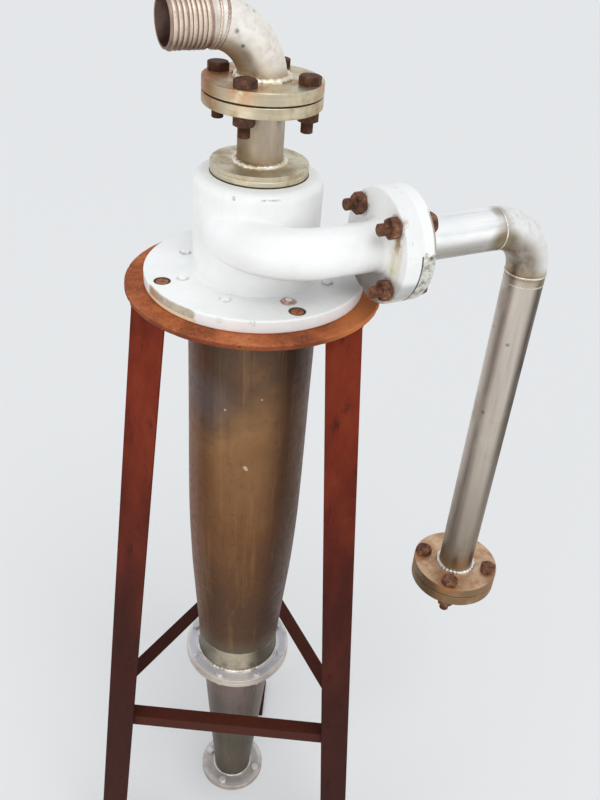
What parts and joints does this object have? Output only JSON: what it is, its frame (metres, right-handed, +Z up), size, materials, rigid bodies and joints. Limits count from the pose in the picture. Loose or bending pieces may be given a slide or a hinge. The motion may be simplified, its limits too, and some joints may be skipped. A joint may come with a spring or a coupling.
{
  "type": "cyclone separator on a stand",
  "caption": "Small steel cyclone separator: tangential inlet spool, white head, tapering body and lower cone, hung in a splayed three-legged angle-iron stand.",
  "frame": {"origin": "on the floor, on the cyclone's vertical axis, centre of the anchor-hole circle", "axes": "+Z up, +X along the inlet pipe away from the head, -Y the side that the inlet wraps"},
  "size_m": [0.7742, 0.6008, 1.6752],
  "materials": {
    "ring_rust": "rusted bare steel, rough and orange-brown",
    "stand_paint": "dull dark red-brown primer with rust showing through",
    "white_paint": "thick white paint, chipped and stained with rust",
    "tarnished_body": "brown tarnish over steel, satin",
    "stainless": "clean stainless steel, satin",
    "outlet_steel": "stainless steel stained yellow-brown",
    "pipe_steel": "drawn stainless pipe with heat tint at its welds",
    "grey_steel": "dull grey-olive steel",
    "bolt_rust": "dark rusted steel fasteners",
    "gasket": "dark sheet gasket"
  },
  "bodies": {
    "root": {"stand_ring": "ring_rust", "leg_left": "stand_paint", "leg_right": "stand_paint", "leg_back": "stand_paint", "brace_front": "stand_paint", "brace_left": "stand_paint", "brace_right": "stand_paint", "foot_plates": "stand_paint", "head_plate": "white_paint", "hold_down_bolts": "bolt_rust", "head_screws": "white_paint", "head_cylinder": "white_paint", "head_crown": "white_paint", "cover_disc": "outlet_steel", "body_flange": "tarnished_body", "body_barrel": "tarnished_body", "body_cone": "tarnished_body", "cone_band": "stainless", "cone_flange_upper": "stainless", "cone_gasket": "gasket", "cone_flange_lower": "stainless", "cone_bolts": "stainless", "lower_cone": "grey_steel", "underflow_flange": "stainless", "underflow_bolts": "stainless", "inlet_scroll": "white_paint", "inlet_nozzle": "white_paint", "inlet_flange": "white_paint", "inlet_gasket": "gasket", "spool_flange": "stainless", "inlet_bolts": "bolt_rust", "spool_pipe": "pipe_steel", "spool_elbow": "pipe_steel", "drop_pipe": "pipe_steel", "drop_flange": "outlet_steel", "drop_gasket": "gasket", "companion_flange": "outlet_steel", "drop_bolts": "bolt_rust", "outlet_pipe": "outlet_steel", "outlet_lower_flange": "outlet_steel", "outlet_gasket": "gasket", "outlet_upper_flange": "outlet_steel", "outlet_bolts": "bolt_rust", "outlet_elbow": "pipe_steel", "ribbed_joint": "pipe_steel"}
  },
  "joints": []
}
